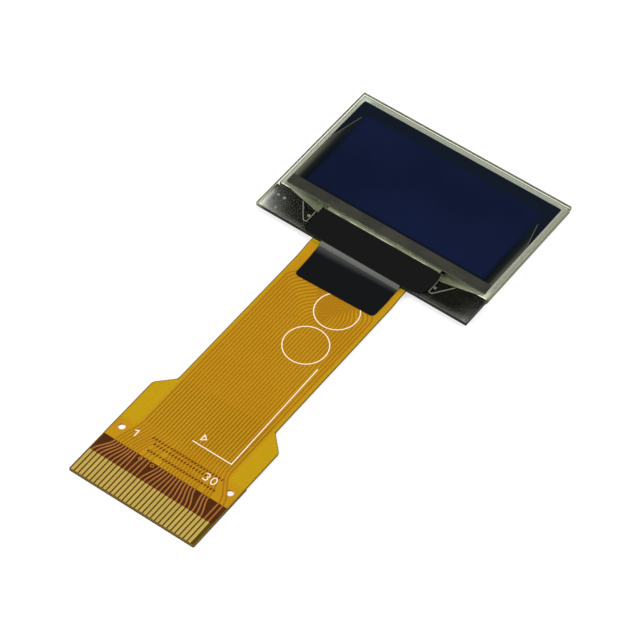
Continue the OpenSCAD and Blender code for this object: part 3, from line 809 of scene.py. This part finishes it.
def dress_head():
    """Rows of short dashes, where the lanes change layers, and two vias."""
    surface = over_cover()
    brown = plain("lower_copper_brown", srgb(104, 54, 10), srgb(84, 40, 8), 0.5, 6.0, specular=0.02)
    ring = plain("via_copper", srgb(170, 116, 44), srgb(146, 94, 30), 0.4, 6.0, specular=0.05)
    # rows of dashes: distance below the ledge's edge, then the first and last x
    rows = ((29.92, -3.38, 5.2), (30.47, -2.8, 3.53), (31.42, -2.88, 5.62))
    pitch, lean, length = 0.37, 0.08, 0.26
    dashes = []
    for down, first, last in rows:
        for k in range(int((last - first) / pitch) + 1):
            x, y = first + k * pitch, EDGE_Y - down
            dashes.append(([(x - lean / 2, y - length / 2), (x + lean / 2, y + length / 2)], False))
    ride_on_cover(strokes("layer_change_dashes", dashes, 0.16, surface, brown, 0.001, 0.004))
    via_down, via_radius = 32.66, 0.17
    vias = [(arc((x, EDGE_Y - via_down), via_radius, 0, 345, 23), True) for x in (-2.92, -1.44)]
    bare = height_over("base_film")
    piece = strokes("via_rings", vias, 0.1, lambda x, y: max(bare(x, y, 0), LANE_TOP), ring, 0.001, 0.006)
    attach(piece, "root")


# ---- stage ----

def floor():
    """White floor that keeps the object's soft shadow; it glows for the camera, mirrors and glass only."""
    half, below = 3000, 0.02
    grey, glow = 0.42, 0.62
    corners = ((-1, -1), (1, -1), (1, 1), (-1, 1))
    bm = bmesh.new()
    bm.faces.new([bm.verts.new((x * half, y * half, -below)) for x, y in corners])
    s = Shader("floor_white", (0.8, 0.8, 0.8))
    s.set(Roughness=0.9, Specular_IOR_Level=0.0)
    path = s.node("ShaderNodeLightPath")
    seen = s.math("ADD", s.math("ADD", path.outputs["Is Camera Ray"], path.outputs["Is Glossy Ray"]),
                  path.outputs["Is Transmission Ray"], clamp=True)
    s.set(Base_Color=(grey, grey, grey), Emission_Color=(1, 1, 1))
    s.set(Emission_Strength=s.math("MULTIPLY", seen, glow))
    piece = build("floor", bm, s.mat)


def world():
    """Even studio light; the camera, mirrors and glass see plain white."""
    made = bpy.data.worlds.new("studio")
    bpy.context.scene.world = made
    made.use_nodes = True
    tree = made.node_tree
    path = tree.nodes.new("ShaderNodeLightPath")
    total = None
    for ray in ("Is Camera Ray", "Is Glossy Ray", "Is Transmission Ray"):
        add = tree.nodes.new("ShaderNodeMath")
        add.operation = "ADD"
        add.use_clamp = True
        tree.links.new(path.outputs[ray], add.inputs[0])
        add.inputs[1].default_value = 0
        if total:
            tree.links.new(total, add.inputs[1])
        total = add.outputs[0]
    level = tree.nodes.new("ShaderNodeMapRange")
    tree.links.new(total, level.inputs["Value"])
    level.inputs["To Min"].default_value = AMBIENT
    level.inputs["To Max"].default_value = 1.0
    tree.links.new(level.outputs[0], tree.nodes["Background"].inputs["Strength"])
    tree.nodes["Background"].inputs["Color"].default_value = (1, 1, 1, 1)


def area_light(name, towards, distance, size, power):
    """A soft lamp that looks at the object from the given direction; sizes are in metres."""
    data = bpy.data.lights.new(name, "AREA")
    data.shape = "RECTANGLE"
    data.size, data.size_y = size
    data.energy = power
    lamp = bpy.data.objects.new(name, data)
    bpy.context.collection.objects.link(lamp)
    way = Vector(towards).normalized()
    aim = Vector((0, -0.015, 0))
    lamp.location = aim + way * distance
    lamp.rotation_euler = way.to_track_quat("Z", "Y").to_euler()


def camera():
    """The camera looks down at the tail from its right, a little rolled."""
    azimuth, elevation, roll = 35.71, 51.78, 0.91
    target = Vector((0.794, -19.456, 0)) * MM
    distance = 348.5 * MM
    focal, sensor = 192.68, 36
    a, e = math.radians(azimuth), math.radians(elevation)
    way = Vector((math.sin(a) * math.cos(e), -math.cos(a) * math.cos(e), math.sin(e)))
    data = bpy.data.cameras.new("camera")
    data.sensor_width = sensor
    data.lens = focal
    data.clip_start = 0.01
    made = bpy.data.objects.new("camera", data)
    bpy.context.collection.objects.link(made)
    made.location = target + way * distance
    turn = way.to_track_quat("Z", "Y").to_matrix().to_4x4()
    spin = Matrix.Rotation(math.radians(roll), 4, "Z")
    made.matrix_world = Matrix.Translation(made.location) @ turn @ spin
    bpy.context.scene.camera = made


# ---- make it all ----

dress_panel()
dress_bead()
dress_tape()
dress_marks()
dress_head()

rim = srgb(146, 116, 46)
leads = lead_film()
resin_and_painted_light = resin()
dress_wash(resin_and_painted_light)
for node, material in (
        ("back_glass", glass("back_glass_clear", (0.93, 0.95, 0.92), srgb(92, 93, 74), 0.04)),
        ("edge_sealant", plain("sealant_pale", srgb(222, 224, 211), srgb(206, 208, 196), 0.4, 3.0,
                               specular=0.1)),
        ("desiccant_sheet", plain("desiccant_white", srgb(226, 226, 222), srgb(206, 206, 202), 0.8, 5.0)),
        ("pixel_layer", plain("pixel_navy", srgb(26, 34, 80), srgb(20, 28, 66), 0.3)),
        ("cathode_layer", plain("cathode_metal", srgb(190, 192, 196), srgb(170, 172, 178), 0.2,
                                metallic=0.9)),
        ("column_leads", leads),
        ("row_leads_left", leads),
        ("row_leads_right", leads),
        ("ledge_marks", bright_film()),
        ("driver_chip", plain("chip_silicon", srgb(64, 64, 68), srgb(48, 48, 52), 0.25)),
        ("chip_bond_film", plain("chip_bond", srgb(150, 144, 112), srgb(124, 118, 90), 0.4, 12.0)),
        ("tail_bond_film", plain("tail_bond", srgb(150, 144, 112), srgb(124, 118, 90), 0.4, 12.0)),
        ("ledge_resin", resin_and_painted_light),
        ("base_film", base_film()),
        ("copper_lanes", copper()),
        ("contacts", gilding()),
        ("top_cover_film", film("cover_film_amber", srgb(200, 146, 30), srgb(196, 140, 26), rim, 0.3,
                                alpha=0.4)),
        ("bottom_cover_film", film("back_film_amber", srgb(186, 130, 22), srgb(160, 104, 14), rim, 0.3)),
        ("end_stiffener", film("stiffener_amber", srgb(150, 98, 22), srgb(120, 74, 14),
                               srgb(60, 50, 20), 0.3))):
    dress_node(node, material)

floor()
world()
area_light("key", (-0.36, -0.8, 0.5), 0.7, (0.35, 0.35), 3.2)
area_light("fill", (0.6, 0.3, 0.9), 0.9, (0.6, 0.6), 4.5)
camera()
bpy.context.scene.view_settings.view_transform = "Standard"
